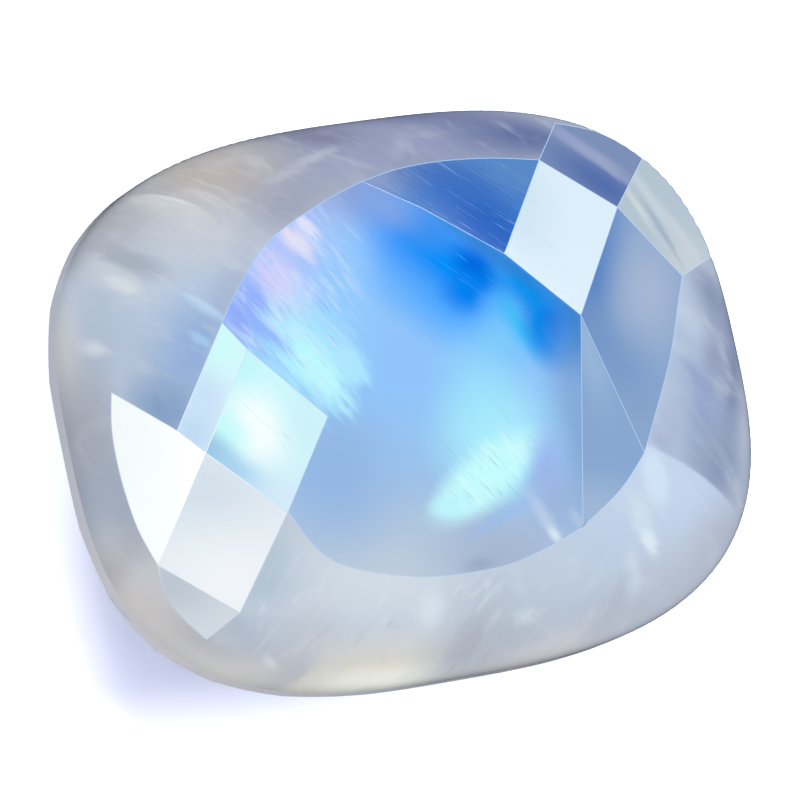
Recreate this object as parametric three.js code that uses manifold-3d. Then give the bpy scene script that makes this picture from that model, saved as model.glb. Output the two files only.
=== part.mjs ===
// A faceted, polished moonstone: a cushion outline with a smooth domed crown, flat facets ground
// into the dome, a thin girdle, and a step-cut pavilion that ends in a small flat culet.
// Millimetres, +Z up. The origin is at the middle of the culet, on which the stone rests.
// +X runs along the stone, +Y across it.
import * as THREE from 'three';
import { mergeVertices } from 'three/addons/utils/BufferGeometryUtils.js';
import Module from 'manifold-3d';

const wasm = await Module();
wasm.setup();

// ---------- driving dimensions ----------
const halfLength = 9.0;
const halfWidth = 7.05;
const cushionPower = 2.9; // 2 is an ellipse; higher squares up the outline
const girdleHeight = 0.5;
const domeHeight = 2.7; // above the girdle, before the facets are ground
const domeShoulder = 2.5; // how far out the dome keeps its height
const domeCrest = 3.0; // how flat the top of the dome is
const pavilionSteps = [ // from the girdle down: how deep each step goes and its slope
  { depth: 1.2, slope: 50 },
  { depth: 1.3, slope: 36 },
  { depth: 1.4, slope: 25 },
];
const pavilionSides = 24;

const outlineSteps = 112; // points round the outline
const domeRings = 26;
const arcSteps = 10; // points along each curved facet edge
const arcOvercut = 0.6; // a facet's cut runs this far past its curved edge
const cutterTop = 12; // above the whole stone
const cutterSize = 40; // wider than the whole stone
const weldGap = 1e-5; // vertices nearer than this are one
const sameSpot = 1e-4; // two plan positions nearer than this are the same corner
const slopeReach = 0.01; // half the length over which the dome's slope is measured

const pavilionDepth = pavilionSteps.reduce((sum, step) => sum + step.depth, 0);
const girdleTop = pavilionDepth + girdleHeight;

// ---------- the smooth form ----------
function outlineRadius(x, y) {
  const along = Math.abs(x / halfLength) ** cushionPower;
  const across = Math.abs(y / halfWidth) ** cushionPower;
  return (along + across) ** (1 / cushionPower);
}

// Height of the unground dome over a point of the plan.
function domeAt(x, y) {
  const fall = Math.min(outlineRadius(x, y), 1) ** domeShoulder;
  return girdleTop + domeHeight * (1 - fall) ** (1 / domeCrest);
}

function outlinePoint(angle) {
  const reach = 1 / outlineRadius(Math.cos(angle), Math.sin(angle));
  return new THREE.Vector2(reach * Math.cos(angle), reach * Math.sin(angle));
}

// ---------- solids ----------
function toSolid(geometry) {
  const bare = geometry.clone();
  bare.deleteAttribute('normal');
  bare.deleteAttribute('uv');
  const merged = mergeVertices(bare, weldGap);
  const corners = [];
  const index = merged.index.array;
  for (let i = 0; i < index.length; i += 3) {
    const [a, b, c] = [index[i], index[i + 1], index[i + 2]];
    if (a !== b && b !== c && c !== a) corners.push(a, b, c);
  }
  return new wasm.Manifold(new wasm.Mesh({
    numProp: 3,
    vertProperties: new Float32Array(merged.attributes.position.array),
    triVerts: new Uint32Array(corners),
  }));
}

function toGeometry(solid) {
  const mesh = solid.getMesh();
  const geometry = new THREE.BufferGeometry();
  geometry.setAttribute('position', new THREE.BufferAttribute(mesh.vertProperties, 3));
  geometry.setIndex(new THREE.BufferAttribute(mesh.triVerts, 1));
  const flat = geometry.toNonIndexed();
  flat.computeVertexNormals();
  return flat;
}

// The blank: a cushion-shaped block up to the girdle's top, with the dome on it. It is lathed
// with a radius of 1 and then drawn out to the cushion outline.
function blankSolid() {
  const profile = [new THREE.Vector2(0, 0), new THREE.Vector2(1, 0)];
  for (let ring = 0; ring <= domeRings; ring += 1) {
    const turn = (ring / domeRings) * (Math.PI / 2);
    const reach = ring === domeRings ? 0 : Math.cos(turn) ** (2 / domeShoulder);
    const rise = domeHeight * Math.sin(turn) ** (2 / domeCrest);
    profile.push(new THREE.Vector2(reach, girdleTop + rise));
  }
  const geometry = new THREE.LatheGeometry(profile, outlineSteps);
  geometry.rotateX(Math.PI / 2);
  const position = geometry.attributes.position;
  for (let i = 0; i < position.count; i += 1) {
    const [x, y] = [position.getX(i), position.getY(i)];
    const reach = Math.hypot(x, y);
    const edge = outlinePoint(Math.atan2(y, x));
    position.setXY(i, reach * edge.x, reach * edge.y);
  }
  return toSolid(geometry);
}

// Everything on the far side of a plane, which is given by its outward normal and one point on it.
function beyondPlane(normal, point) {
  const box = new THREE.BoxGeometry(cutterSize, cutterSize, cutterSize);
  box.translate(0, 0, cutterSize / 2);
  const upright = new THREE.Vector3(0, 0, 1);
  box.applyQuaternion(new THREE.Quaternion().setFromUnitVectors(upright, normal));
  box.translate(point.x, point.y, point.z);
  return toSolid(box);
}

// ---------- the pavilion ----------
// Each side's plane touches the girdle's outline at one point, and each step starts where the
// step above it ends.
function pavilionCuts() {
  const cuts = [];
  for (let side = 0; side < pavilionSides; side += 1) {
    const share = (side / pavilionSides) * 2 * Math.PI;
    const touch = new THREE.Vector2(
      halfLength * Math.sign(Math.cos(share)) * Math.abs(Math.cos(share)) ** (2 / cushionPower),
      halfWidth * Math.sign(Math.sin(share)) * Math.abs(Math.sin(share)) ** (2 / cushionPower),
    );
    const outward = new THREE.Vector2(
      Math.sign(touch.x) * Math.abs(touch.x / halfLength) ** (cushionPower - 1) / halfLength,
      Math.sign(touch.y) * Math.abs(touch.y / halfWidth) ** (cushionPower - 1) / halfWidth,
    ).normalize();
    let inset = 0;
    let level = pavilionDepth;
    for (const step of pavilionSteps) {
      const slope = THREE.MathUtils.degToRad(step.slope);
      const normal = new THREE.Vector3(
        outward.x * Math.sin(slope),
        outward.y * Math.sin(slope),
        -Math.cos(slope),
      );
      const point = new THREE.Vector3(
        touch.x - outward.x * inset,
        touch.y - outward.y * inset,
        level,
      );
      cuts.push(beyondPlane(normal, point));
      inset += step.depth / Math.tan(slope);
      level -= step.depth;
    }
  }
  return cuts;
}

// ---------- the crown facets ----------
// Facet corners in plan, and how far below the unground dome each one lies.
const corner = {
  a: [-5.40, 2.20, 0],
  b: [-4.90, 1.45, 0.06],
  c: [-3.20, -0.45, 0.21],
  d: [-4.75, -2.60, 0.02],
  e: [-6.45, -0.85, 0],
  f: [-7.00, -0.20, 0],
  g: [-8.25, 1.05, 0],
  h: [-7.95, -3.25, 0],
  i: [-6.25, -4.75, 0],
  j: [-7.00, -5.20, 0],
  k: [-0.90, 5.20, 0],
  l: [0.45, 4.35, 0.13],
  m: [2.40, 2.90, 0.25],
  n: [4.10, 1.10, 0.25],
  o: [4.00, 5.15, 0],
  p: [5.85, 3.70, 0.09],
  q: [7.25, 1.75, 0],
  r: [4.95, -2.55, 0],
  s: [2.90, -4.10, 0.03],
  t: [5.00, 6.15, 0],
  u: [7.30, 5.00, 0],
  v: [8.55, 2.25, 0],
};

// Each facet's outline, counter-clockwise from above. A name is a corner, and a list of points
// between two names is a curved edge, where the facet runs out into the dome.
const facets = {
  table: [
    'c', 'd', [[-3.80, -3.95], [-1.70, -4.65], [0.40, -4.75], [1.75, -4.50]], 's', 'n', 'm', 'l',
  ],
  tableWest: ['c', 'l', 'k', [[-2.10, 4.80], [-3.70, 4.05], [-4.75, 3.05]], 'a', 'b'],
  north: ['k', 'l', 'm', 'o', [[2.75, 5.35], [1.40, 5.45], [0.15, 5.40]]],
  northEast: ['m', 'n', 'p', 'o'],
  cornerNorthEast: ['o', 'p', 'u', [[6.40, 5.75]], 't'],
  endEast: ['p', 'q', 'v', [[8.15, 3.70]], 'u'],
  east: ['n', 'r', [[5.45, -1.70], [6.30, -0.25], [6.95, 1.15]], 'q', 'p'],
  southEast: ['n', 's', [[4.10, -3.35]], 'r'],
  west: ['b', 'e', 'd', 'c'],
  westNarrow: ['a', 'f', 'e', 'b'],
  endWest: ['f', 'g', [[-8.40, 0.10], [-8.40, -1.10], [-8.25, -2.30]], 'h', 'e'],
  southWest: ['e', 'h', 'i', 'd'],
  cornerSouthWest: ['h', [[-7.85, -4.00], [-7.50, -4.60]], 'j', 'i'],
};

// Straight facet edges that border the dome itself. The dome is ground a little flat along them.
const freeEdges = [['a', 'f'], ['f', 'g'], ['d', 'i'], ['i', 'j'], ['o', 't'], ['q', 'v']];

function cornerPoint(name) {
  const [x, y, sink] = corner[name];
  return new THREE.Vector3(x, y, domeAt(x, y) - sink);
}

// The height over (x, y) of the plane that fits the named corners best.
function planeThrough(names) {
  const points = names.map(cornerPoint);
  const middle = points.reduce((sum, p) => sum.add(p), new THREE.Vector3()).divideScalar(points.length);
  let [xx, xy, yy, xz, yz] = [0, 0, 0, 0, 0];
  for (const p of points) {
    const [dx, dy, dz] = [p.x - middle.x, p.y - middle.y, p.z - middle.z];
    xx += dx * dx;
    xy += dx * dy;
    yy += dy * dy;
    xz += dx * dz;
    yz += dy * dz;
  }
  const area = xx * yy - xy * xy;
  const slopeX = (xz * yy - yz * xy) / area;
  const slopeY = (yz * xx - xz * xy) / area;
  return (x, y) => middle.z + slopeX * (x - middle.x) + slopeY * (y - middle.y);
}

// The outline of one facet as points in space. A curved edge is pushed outwards and kept in the
// facet's plane, so that the dome itself trims it.
function facetOutline(parts) {
  const names = parts.filter((part) => typeof part === 'string');
  const plane = planeThrough(names);
  const middle = names.map(cornerPoint).reduce((sum, p) => sum.add(p), new THREE.Vector3());
  middle.divideScalar(names.length);
  const outline = [];
  parts.forEach((part, place) => {
    if (typeof part === 'string') {
      outline.push(cornerPoint(part));
      return;
    }
    const before = cornerPoint(parts[place - 1]);
    const after = cornerPoint(parts[(place + 1) % parts.length]);
    const curve = new THREE.SplineCurve([
      new THREE.Vector2(before.x, before.y),
      ...part.map(([x, y]) => new THREE.Vector2(x, y)),
      new THREE.Vector2(after.x, after.y),
    ]);
    for (const point of curve.getPoints(arcSteps).slice(1, -1)) {
      const out = new THREE.Vector2(point.x - middle.x, point.y - middle.y).setLength(arcOvercut);
      point.add(out);
      outline.push(new THREE.Vector3(point.x, point.y, plane(point.x, point.y)));
    }
  });
  return outline;
}

// A prism over a facet whose underside is the facet itself.
function facetCutter(parts) {
  const outline = facetOutline(parts);
  const shape = new THREE.Shape(outline.map((p) => new THREE.Vector2(p.x, p.y)));
  const prism = new THREE.ExtrudeGeometry(shape, { depth: cutterTop, bevelEnabled: false });
  const position = prism.attributes.position;
  for (let i = 0; i < position.count; i += 1) {
    if (position.getZ(i) > 0) continue;
    const [x, y] = [position.getX(i), position.getY(i)];
    const foot = outline.find((p) => Math.hypot(p.x - x, p.y - y) < sameSpot);
    position.setZ(i, foot.z);
  }
  return toSolid(prism);
}

// The plane that holds a straight edge and leans as the dome does beside its middle.
function flatAlong([from, to]) {
  const start = cornerPoint(from);
  const end = cornerPoint(to);
  const edge = end.clone().sub(start).normalize();
  const middle = start.clone().add(end).divideScalar(2);
  const { x, y } = middle;
  const riseX = domeAt(x + slopeReach, y) - domeAt(x - slopeReach, y);
  const riseY = domeAt(x, y + slopeReach) - domeAt(x, y - slopeReach);
  const normal = new THREE.Vector3(-riseX, -riseY, 2 * slopeReach);
  normal.addScaledVector(edge, -normal.dot(edge)).normalize();
  return beyondPlane(normal, middle);
}

// ---------- the stone ----------
let stone = blankSolid();
for (const cut of pavilionCuts()) stone = stone.subtract(cut);
for (const edge of freeEdges) stone = stone.subtract(flatAlong(edge));
let cutter = null;
for (const parts of Object.values(facets)) {
  const prism = facetCutter(parts);
  cutter = cutter ? cutter.add(prism) : prism;
}
stone = stone.subtract(cutter);

const polishedMoonstone = new THREE.MeshStandardMaterial({
  color: '#b4c3dc',
  roughness: 0.08,
  metalness: 0,
});

const moonstone = new THREE.Mesh(toGeometry(stone), polishedMoonstone);
moonstone.name = 'moonstone';

const model = new THREE.Group();
model.add(moonstone);

export default model;
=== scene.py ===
"""A polished moonstone: a cushion-shaped gem with a domed crown, flat facets and a blue sheen.

Laid out as an add-on and run as a script. Plan positions are in millimetres from the middle of the
stone, with X along it and Y across it; meshes are in metres.
"""

from collections import namedtuple
from math import cos, pi, radians, sin, tan

import bmesh
import bpy
from mathutils import Matrix, Vector
from mathutils.geometry import delaunay_2d_cdt
from mathutils.kdtree import KDTree


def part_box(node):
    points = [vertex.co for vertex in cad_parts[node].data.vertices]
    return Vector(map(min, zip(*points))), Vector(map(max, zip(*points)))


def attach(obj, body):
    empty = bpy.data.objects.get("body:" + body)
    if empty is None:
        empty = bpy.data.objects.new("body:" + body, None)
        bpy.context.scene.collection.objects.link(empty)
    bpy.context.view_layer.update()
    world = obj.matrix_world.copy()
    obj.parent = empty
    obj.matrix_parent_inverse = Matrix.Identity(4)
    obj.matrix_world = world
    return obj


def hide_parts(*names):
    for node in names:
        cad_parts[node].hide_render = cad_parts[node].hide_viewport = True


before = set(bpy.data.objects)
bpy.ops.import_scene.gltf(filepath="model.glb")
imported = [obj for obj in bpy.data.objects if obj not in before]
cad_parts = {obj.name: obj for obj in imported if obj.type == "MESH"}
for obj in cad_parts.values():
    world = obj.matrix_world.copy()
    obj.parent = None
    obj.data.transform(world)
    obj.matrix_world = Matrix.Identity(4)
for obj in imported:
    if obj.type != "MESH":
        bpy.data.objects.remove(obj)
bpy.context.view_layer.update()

bl_info = {
    "name": "Faceted moonstone",
    "version": (1, 0, 0),
    "blender": (4, 5, 0),
    "location": "3D View > Sidebar > Moonstone",
    "description": "Builds a polished cushion-cut moonstone over its solid model",
    "category": "Object",
}

# ---------- the stone's form, as in the solid ----------
MM = 0.001
CAD_NODE = "moonstone"
STONE_NAME = "polished_moonstone"
_, top_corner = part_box(CAD_NODE)
HALF_LENGTH = top_corner.x / MM
HALF_WIDTH = top_corner.y / MM
GIRDLE_HEIGHT = 0.5
DOME_HEIGHT = 2.7

# How square the outline is, where 2 is an ellipse, how far out the dome keeps its height, and how
# flat its top is.
CUSHION_POWER = 2.9
DOME_SHOULDER = 2.5
DOME_CREST = 3.0

# From the girdle down: how deep each step of the pavilion goes, and its slope in degrees.
PAVILION_STEPS = ((1.2, 50.0), (1.3, 36.0), (1.4, 25.0))
PAVILION_SIDES = 24
PAVILION_DEPTH = sum(depth for depth, _ in PAVILION_STEPS)
GIRDLE_TOP = PAVILION_DEPTH + GIRDLE_HEIGHT

# Facet corners in plan, and how far below the unground dome each one lies.
CORNERS = {
    "a": (-5.40, 2.20, 0.0),
    "b": (-4.90, 1.45, 0.06),
    "c": (-3.20, -0.45, 0.21),
    "d": (-4.75, -2.60, 0.02),
    "e": (-6.45, -0.85, 0.0),
    "f": (-7.00, -0.20, 0.0),
    "g": (-8.25, 1.05, 0.0),
    "h": (-7.95, -3.25, 0.0),
    "i": (-6.25, -4.75, 0.0),
    "j": (-7.00, -5.20, 0.0),
    "k": (-0.90, 5.20, 0.0),
    "l": (0.45, 4.35, 0.13),
    "m": (2.40, 2.90, 0.25),
    "n": (4.10, 1.10, 0.25),
    "o": (4.00, 5.15, 0.0),
    "p": (5.85, 3.70, 0.09),
    "q": (7.25, 1.75, 0.0),
    "r": (4.95, -2.55, 0.0),
    "s": (2.90, -4.10, 0.03),
    "t": (5.00, 6.15, 0.0),
    "u": (7.30, 5.00, 0.0),
    "v": (8.55, 2.25, 0.0),
}

# Each facet's outline, counter-clockwise from above. A letter is a corner, and a tuple of points
# between two letters is a curved edge, where the facet runs out into the dome.
FACETS = {
    "table": (
        "c", "d", ((-3.80, -3.95), (-1.70, -4.65), (0.40, -4.75), (1.75, -4.50)), "s", "n", "m",
        "l", "k", ((-2.10, 4.80), (-3.70, 4.05), (-4.75, 3.05)), "a", "b",
    ),
    "north": ("k", "l", "m", "o", ((2.75, 5.35), (1.40, 5.45), (0.15, 5.40))),
    "north_east": ("m", "n", "p", "o"),
    "corner_north_east": ("o", "p", "u", ((6.40, 5.75),), "t"),
    "end_east": ("p", "q", "v", ((8.15, 3.70),), "u"),
    "east": ("n", "r", ((5.45, -1.70), (6.30, -0.25), (6.95, 1.15)), "q", "p"),
    "south_east": ("n", "s", ((4.10, -3.35),), "r"),
    "west": ("b", "e", "d", "c"),
    "west_narrow": ("a", "f", "e", "b"),
    "end_west": ("f", "g", ((-8.40, 0.10), (-8.40, -1.10), (-8.25, -2.30)), "h", "e"),
    "south_west": ("e", "h", "i", "d"),
    "corner_south_west": ("h", ((-7.85, -4.00), (-7.50, -4.60)), "j", "i"),
}

# Straight facet edges that border the dome itself, which is ground a little flat along them.
FREE_EDGES = (("a", "f"), ("f", "g"), ("d", "i"), ("i", "j"), ("o", "t"), ("q", "v"))

# How far a facet's polish leans from the plane of its corners: east and north, in degrees.
POLISH_LEAN = {
    "north_east": (-2.0, 2.0),
}

# ---------- mesh fineness ----------
# Spacings and gaps are in millimetres.
OUTLINE_STEPS = 192
DOME_RINGS = 40
EDGE_SPACING = 0.25
ARC_STEPS = 6
EDGE_MARK_SPACING = 0.01
CORNER_STEPS = 16
RING_CLEARANCE = 0.14
FINE_RING_REACH = 0.8
SHARPEST_CORNER = 0.35
FLAT_BLEND = 0.03
WELD_GAP = 1e-4
CUT_GAP = 1e-5
KEY_DIGITS = 4
WHOLE_HULL = 0

# The mesh's regions besides the facets. A facet's region is its place in FACETS.
DOME, EDGE, GIRDLE, PAVILION = -1, -2, -3, -4

# ---------- the camera ----------
# Angles are in degrees. The view's distance and the sensor's width are in millimetres, and what the
# camera sees lies between two distances in metres.
VIEW_AZIMUTH = -72.70
VIEW_ELEVATION = 64.64
VIEW_ROLL = 62.24
VIEW_DISTANCE = 150.0
IMAGE_SIZE = 800
SENSOR_WIDTH = 36.0
FOCAL_PIXELS = 6051.6
CENTRE_PIXEL = (405.3, 399.9)
NEAREST_SEEN = 0.001
FARTHEST_SEEN = 10.0


# ---------- the smooth form ----------
def outline_radius(x, y):
    along = abs(x / HALF_LENGTH) ** CUSHION_POWER
    across = abs(y / HALF_WIDTH) ** CUSHION_POWER
    return (along + across) ** (1 / CUSHION_POWER)


def outline_point(angle):
    reach = 1 / outline_radius(cos(angle), sin(angle))
    return Vector((reach * cos(angle), reach * sin(angle)))


def dome_height(x, y):
    fall = min(outline_radius(x, y), 1.0) ** DOME_SHOULDER
    return GIRDLE_TOP + DOME_HEIGHT * (1 - fall) ** (1 / DOME_CREST)


def outline_slope(x, y):
    """How fast the outline radius grows, towards +X and towards +Y."""
    radius = max(outline_radius(x, y), WELD_GAP)
    scale = radius ** (1 - CUSHION_POWER)
    along = abs(x / HALF_LENGTH) ** (CUSHION_POWER - 1) / HALF_LENGTH
    across = abs(y / HALF_WIDTH) ** (CUSHION_POWER - 1) / HALF_WIDTH
    return Vector((scale * along * sign(x), scale * across * sign(y)))


def sign(value):
    return -1.0 if value < 0 else 1.0


def dome_normal(x, y):
    radius = min(outline_radius(x, y), 1.0)
    rise = (dome_height(x, y) - GIRDLE_TOP) / DOME_HEIGHT
    lean = outline_slope(x, y) * DOME_SHOULDER * radius ** (DOME_SHOULDER - 1)
    lift = DOME_CREST * rise ** (DOME_CREST - 1) / DOME_HEIGHT
    return Vector((lean.x, lean.y, lift)).normalized()


def plane_height(point, normal, x, y):
    return point.z - (normal.x * (x - point.x) + normal.y * (y - point.y)) / normal.z


def corner_point(name):
    x, y, sink = CORNERS[name]
    return Vector((x, y, dome_height(x, y) - sink))


def flat_along(start_name, end_name):
    """The plane that holds a straight edge and leans as the dome does beside its middle."""
    start = corner_point(start_name)
    end = corner_point(end_name)
    middle = (start + end) / 2
    edge = (end - start).normalized()
    normal = dome_normal(middle.x, middle.y)
    normal -= edge * normal.dot(edge)
    return middle, normal.normalized()


def crown_height(x, y, flats):
    heights = [plane_height(point, normal, x, y) for point, normal in flats]
    return min([dome_height(x, y), *heights])


def crown_normal(x, y, flats):
    normal = dome_normal(x, y)
    for point, flat_normal in flats:
        depth = dome_height(x, y) - plane_height(point, flat_normal, x, y)
        share = min(max(depth / FLAT_BLEND, 0.0), 1.0)
        normal = normal.lerp(flat_normal, share)
    return normal.normalized()


# ---------- facet outlines ----------
def facet_corners(parts):
    return [corner_point(part) for part in parts if isinstance(part, str)]


def facet_normal(name):
    """The normal of the plane that fits the facet's corners best, with the polish's lean."""
    points = facet_corners(FACETS[name])
    middle = sum(points, Vector()) / len(points)
    xx = sum((p.x - middle.x) ** 2 for p in points)
    yy = sum((p.y - middle.y) ** 2 for p in points)
    xy = sum((p.x - middle.x) * (p.y - middle.y) for p in points)
    xz = sum((p.x - middle.x) * (p.z - middle.z) for p in points)
    yz = sum((p.y - middle.y) * (p.z - middle.z) for p in points)
    area = xx * yy - xy * xy
    slope_x = (xz * yy - yz * xy) / area
    slope_y = (yz * xx - xz * xy) / area
    east, north = POLISH_LEAN.get(name, (0.0, 0.0))
    return Vector((tan(radians(east)) - slope_x, tan(radians(north)) - slope_y, 1)).normalized()


def straight_edge(start_name, end_name, known):
    """Points along a straight edge, the same ones whichever facet asks for them."""
    key = tuple(sorted((start_name, end_name)))
    if key not in known:
        start = corner_point(key[0])
        end = corner_point(key[1])
        steps = max(2, round((end - start).length / EDGE_SPACING))
        known[key] = [start.lerp(end, step / steps) for step in range(steps + 1)]
    points = known[key]
    return points if key[0] == start_name else points[::-1]


def smooth_curve(points, steps):
    """A uniform Catmull-Rom curve through plan points, with its ends."""
    curve = []
    last = len(points) - 1
    for i in range(last):
        before = points[max(i - 1, 0)]
        start = points[i]
        end = points[i + 1]
        after = points[min(i + 2, last)]
        for step in range(steps):
            t = step / steps
            pull_start = (end - before) / 2
            pull_end = (after - start) / 2
            bend = 2 * start - 2 * end + pull_start + pull_end
            sweep = 3 * end - 3 * start - 2 * pull_start - pull_end
            curve.append(start + pull_start * t + sweep * t**2 + bend * t**3)
    curve.append(points[last])
    return curve


def facet_outline(name, known, flats):
    """The facet's outline as points in space, and for each stretch whether the dome is beyond it."""
    parts = FACETS[name]
    outline = []
    borders_dome = []
    for place, part in enumerate(parts):
        after = parts[(place + 1) % len(parts)]
        if isinstance(part, str) and isinstance(after, str):
            stretch = straight_edge(part, after, known)
            free = (part, after) in FREE_EDGES or (after, part) in FREE_EDGES
            outline += stretch[:-1]
            borders_dome += [free] * (len(stretch) - 1)
        elif not isinstance(part, str):
            start = corner_point(parts[place - 1])
            end = corner_point(after)
            through = [start.to_2d(), *(Vector(point) for point in part), end.to_2d()]
            curve = smooth_curve(through, ARC_STEPS)
            outline.append(start)
            outline += [Vector((p.x, p.y, crown_height(p.x, p.y, flats))) for p in curve[1:-1]]
            borders_dome += [True] * (len(curve) - 1)
    return outline, borders_dome


def sideways(direction):
    return Vector((direction.y, -direction.x))


def inset_outline(outline, width):
    """The outline moved inwards by a width, in plan."""
    moved = []
    for i, point in enumerate(outline):
        before = (point - outline[i - 1]).to_2d().normalized()
        after = (outline[(i + 1) % len(outline)] - point).to_2d().normalized()
        outward = (sideways(before) + sideways(after)).normalized()
        stretch = width / max(outward.dot(sideways(after)), SHARPEST_CORNER)
        moved.append(point.to_2d() - outward * stretch)
    return moved


def holds(polygon, x, y):
    """Whether a plan polygon holds a point."""
    inside = False
    for i, p in enumerate(polygon):
        q = polygon[i - 1]
        if (p.y > y) != (q.y > y) and x < (q.x - p.x) * (y - p.y) / (q.y - p.y) + p.x:
            inside = not inside
    return inside


# ---------- the crown's mesh ----------
class CrownPlan:
    """Plan points with their heights and edge normals, and the lines that faces may not cross."""

    def __init__(self, flats):
        self.flats = flats
        self.points = []
        self.heights = []
        self.normals = []
        self.lines = []

    def add(self, x, y, height, normal):
        self.points.append(Vector((x, y)))
        self.heights.append(height)
        self.normals.append(normal)
        return len(self.points) - 1

    def add_on_dome(self, x, y):
        return self.add(x, y, crown_height(x, y, self.flats), crown_normal(x, y, self.flats))


def plan_key(point):
    """Where a point lies in plan, the same for every facet that meets there."""
    return round(point.x, KEY_DIGITS), round(point.y, KEY_DIGITS)


def plan_edges(plan, outlines, edge_width):
    """Adds every facet's edge line, once, and the lines a little to either side of it."""
    placed = {}
    meeting = {}
    for name, (outline, borders_dome) in outlines.items():
        for i, point in enumerate(outline):
            key = plan_key(point)
            normals = meeting.setdefault(key, [])
            normals.append(facet_normal(name))
            if borders_dome[i] or borders_dome[i - 1]:
                normals.append(crown_normal(point.x, point.y, plan.flats))
    for name, (outline, borders_dome) in outlines.items():
        ring = []
        for point in outline:
            key = plan_key(point)
            if key not in placed:
                normal = sum(meeting[key], Vector()).normalized()
                placed[key] = plan.add(point.x, point.y, point.z, normal)
            ring.append(placed[key])
        plan.lines += [(ring[i - 1], ring[i]) for i in range(len(ring))]
        inner = inset_outline(outline, edge_width)
        normal = facet_normal(name)
        ring = [
            plan.add(p.x, p.y, plane_height(outline[i], normal, p.x, p.y), normal)
            for i, p in enumerate(inner)
        ]
        plan.lines += [(ring[i - 1], ring[i]) for i in range(len(ring))]
        plan_dome_side(plan, outline, borders_dome, outlines, edge_width)
    for name in CORNERS:
        plan_corner(plan, corner_point(name), outlines, edge_width)


def plan_corner(plan, corner, outlines, edge_width):
    """Adds points close round a facet corner, where they fall on the dome."""
    for step in range(CORNER_STEPS):
        turn = 2 * pi * step / CORNER_STEPS
        x = corner.x + edge_width * cos(turn)
        y = corner.y + edge_width * sin(turn)
        if not any(holds(ring, x, y) for ring, _ in outlines.values()):
            plan.add_on_dome(x, y)


def plan_dome_side(plan, outline, borders_dome, outlines, edge_width):
    """Adds the line just outside a facet's free edges."""
    others = [ring for ring, _ in outlines.values() if ring is not outline]
    previous = None
    for i, free in enumerate(borders_dome):
        start = outline[i]
        end = outline[(i + 1) % len(outline)]
        if not free:
            previous = None
            continue
        outward = sideways((end - start).to_2d().normalized())
        for point in (start, end) if previous is None else (end,):
            x, y = point.to_2d() + outward * edge_width
            if any(holds(ring, x, y) for ring in others):
                previous = None
                continue
            made = plan.add_on_dome(x, y)
            if previous is not None:
                plan.lines.append((previous, made))
            previous = made


def outline_tree(outlines):
    """The nearest facet edge to a plan point, as a search tree."""
    marks = []
    for outline, _ in outlines.values():
        for i, point in enumerate(outline):
            before = outline[i - 1].to_2d()
            steps = max(1, round((point.to_2d() - before).length / EDGE_MARK_SPACING))
            marks += [before.lerp(point.to_2d(), step / steps) for step in range(steps)]
    tree = KDTree(len(marks))
    for i, mark in enumerate(marks):
        tree.insert(mark.to_3d(), i)
    tree.balance()
    return tree


def plan_dome(plan, outlines, edge_tree):
    """Adds the girdle's outline and rings of points over the dome, clear of the facets."""
    rim = []
    for step in range(OUTLINE_STEPS):
        edge = outline_point(2 * pi * step / OUTLINE_STEPS)
        rim.append(plan.add(edge.x, edge.y, GIRDLE_TOP, dome_normal(edge.x, edge.y)))
    plan.lines += [(rim[i - 1], rim[i]) for i in range(OUTLINE_STEPS)]
    for ring in range(1, DOME_RINGS):
        reach = cos(pi / 2 * ring / DOME_RINGS) ** (2 / DOME_SHOULDER)
        steps = OUTLINE_STEPS if reach > FINE_RING_REACH else OUTLINE_STEPS // 2
        for step in range(steps):
            x, y = outline_point(2 * pi * (step + 0.5 * (ring % 2)) / steps) * reach
            _, _, gap = edge_tree.find((x, y, 0))
            if gap < RING_CLEARANCE or any(holds(outline, x, y) for outline, _ in outlines.values()):
                continue
            plan.add_on_dome(x, y)


def crown_surface(edge_width):
    """The crown as points, edge normals, dome normals, triangles and each triangle's region."""
    flats = [flat_along(*edge) for edge in FREE_EDGES]
    known = {}
    outlines = {name: facet_outline(name, known, flats) for name in FACETS}
    plan = CrownPlan(flats)
    plan_edges(plan, outlines, edge_width)
    edge_tree = outline_tree(outlines)
    plan_dome(plan, outlines, edge_tree)
    spots, _, triangles, origins, _, _ = delaunay_2d_cdt(
        plan.points, plan.lines, [], WHOLE_HULL, WELD_GAP
    )
    points = []
    edge_normals = []
    for spot, origin in zip(spots, origins):
        source = min(origin) if origin else plan.add_on_dome(spot.x, spot.y)
        points.append(Vector((spot.x, spot.y, plan.heights[source])))
        edge_normals.append(plan.normals[source])
    dome_normals = [crown_normal(point.x, point.y, flats) for point in points]
    inner = [inset_outline(outline, edge_width) for outline, _ in outlines.values()]
    regions = []
    for triangle in triangles:
        middle = sum((points[i] for i in triangle), Vector()) / 3
        _, _, gap = edge_tree.find((middle.x, middle.y, 0))
        region = EDGE if gap < edge_width else DOME
        for place, polygon in enumerate(inner):
            if holds(polygon, middle.x, middle.y):
                region = place
        regions.append(region)
    return points, edge_normals, dome_normals, triangles, regions


# ---------- the girdle and pavilion ----------
def pavilion_planes():
    """Each side's plane touches the girdle at one point, and each step starts where the last ends."""
    planes = []
    for side in range(PAVILION_SIDES):
        turn = 2 * pi * side / PAVILION_SIDES
        touch = Vector((
            HALF_LENGTH * sign(cos(turn)) * abs(cos(turn)) ** (2 / CUSHION_POWER),
            HALF_WIDTH * sign(sin(turn)) * abs(sin(turn)) ** (2 / CUSHION_POWER),
        ))
        outward = outline_slope(touch.x, touch.y).normalized()
        inset = 0.0
        level = PAVILION_DEPTH
        for depth, degrees in PAVILION_STEPS:
            slope = radians(degrees)
            foot = touch - outward * inset
            normal = Vector((outward.x * sin(slope), outward.y * sin(slope), -cos(slope)))
            planes.append((Vector((foot.x, foot.y, level)), normal))
            inset += depth / tan(slope)
            level -= depth
    return planes


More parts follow.
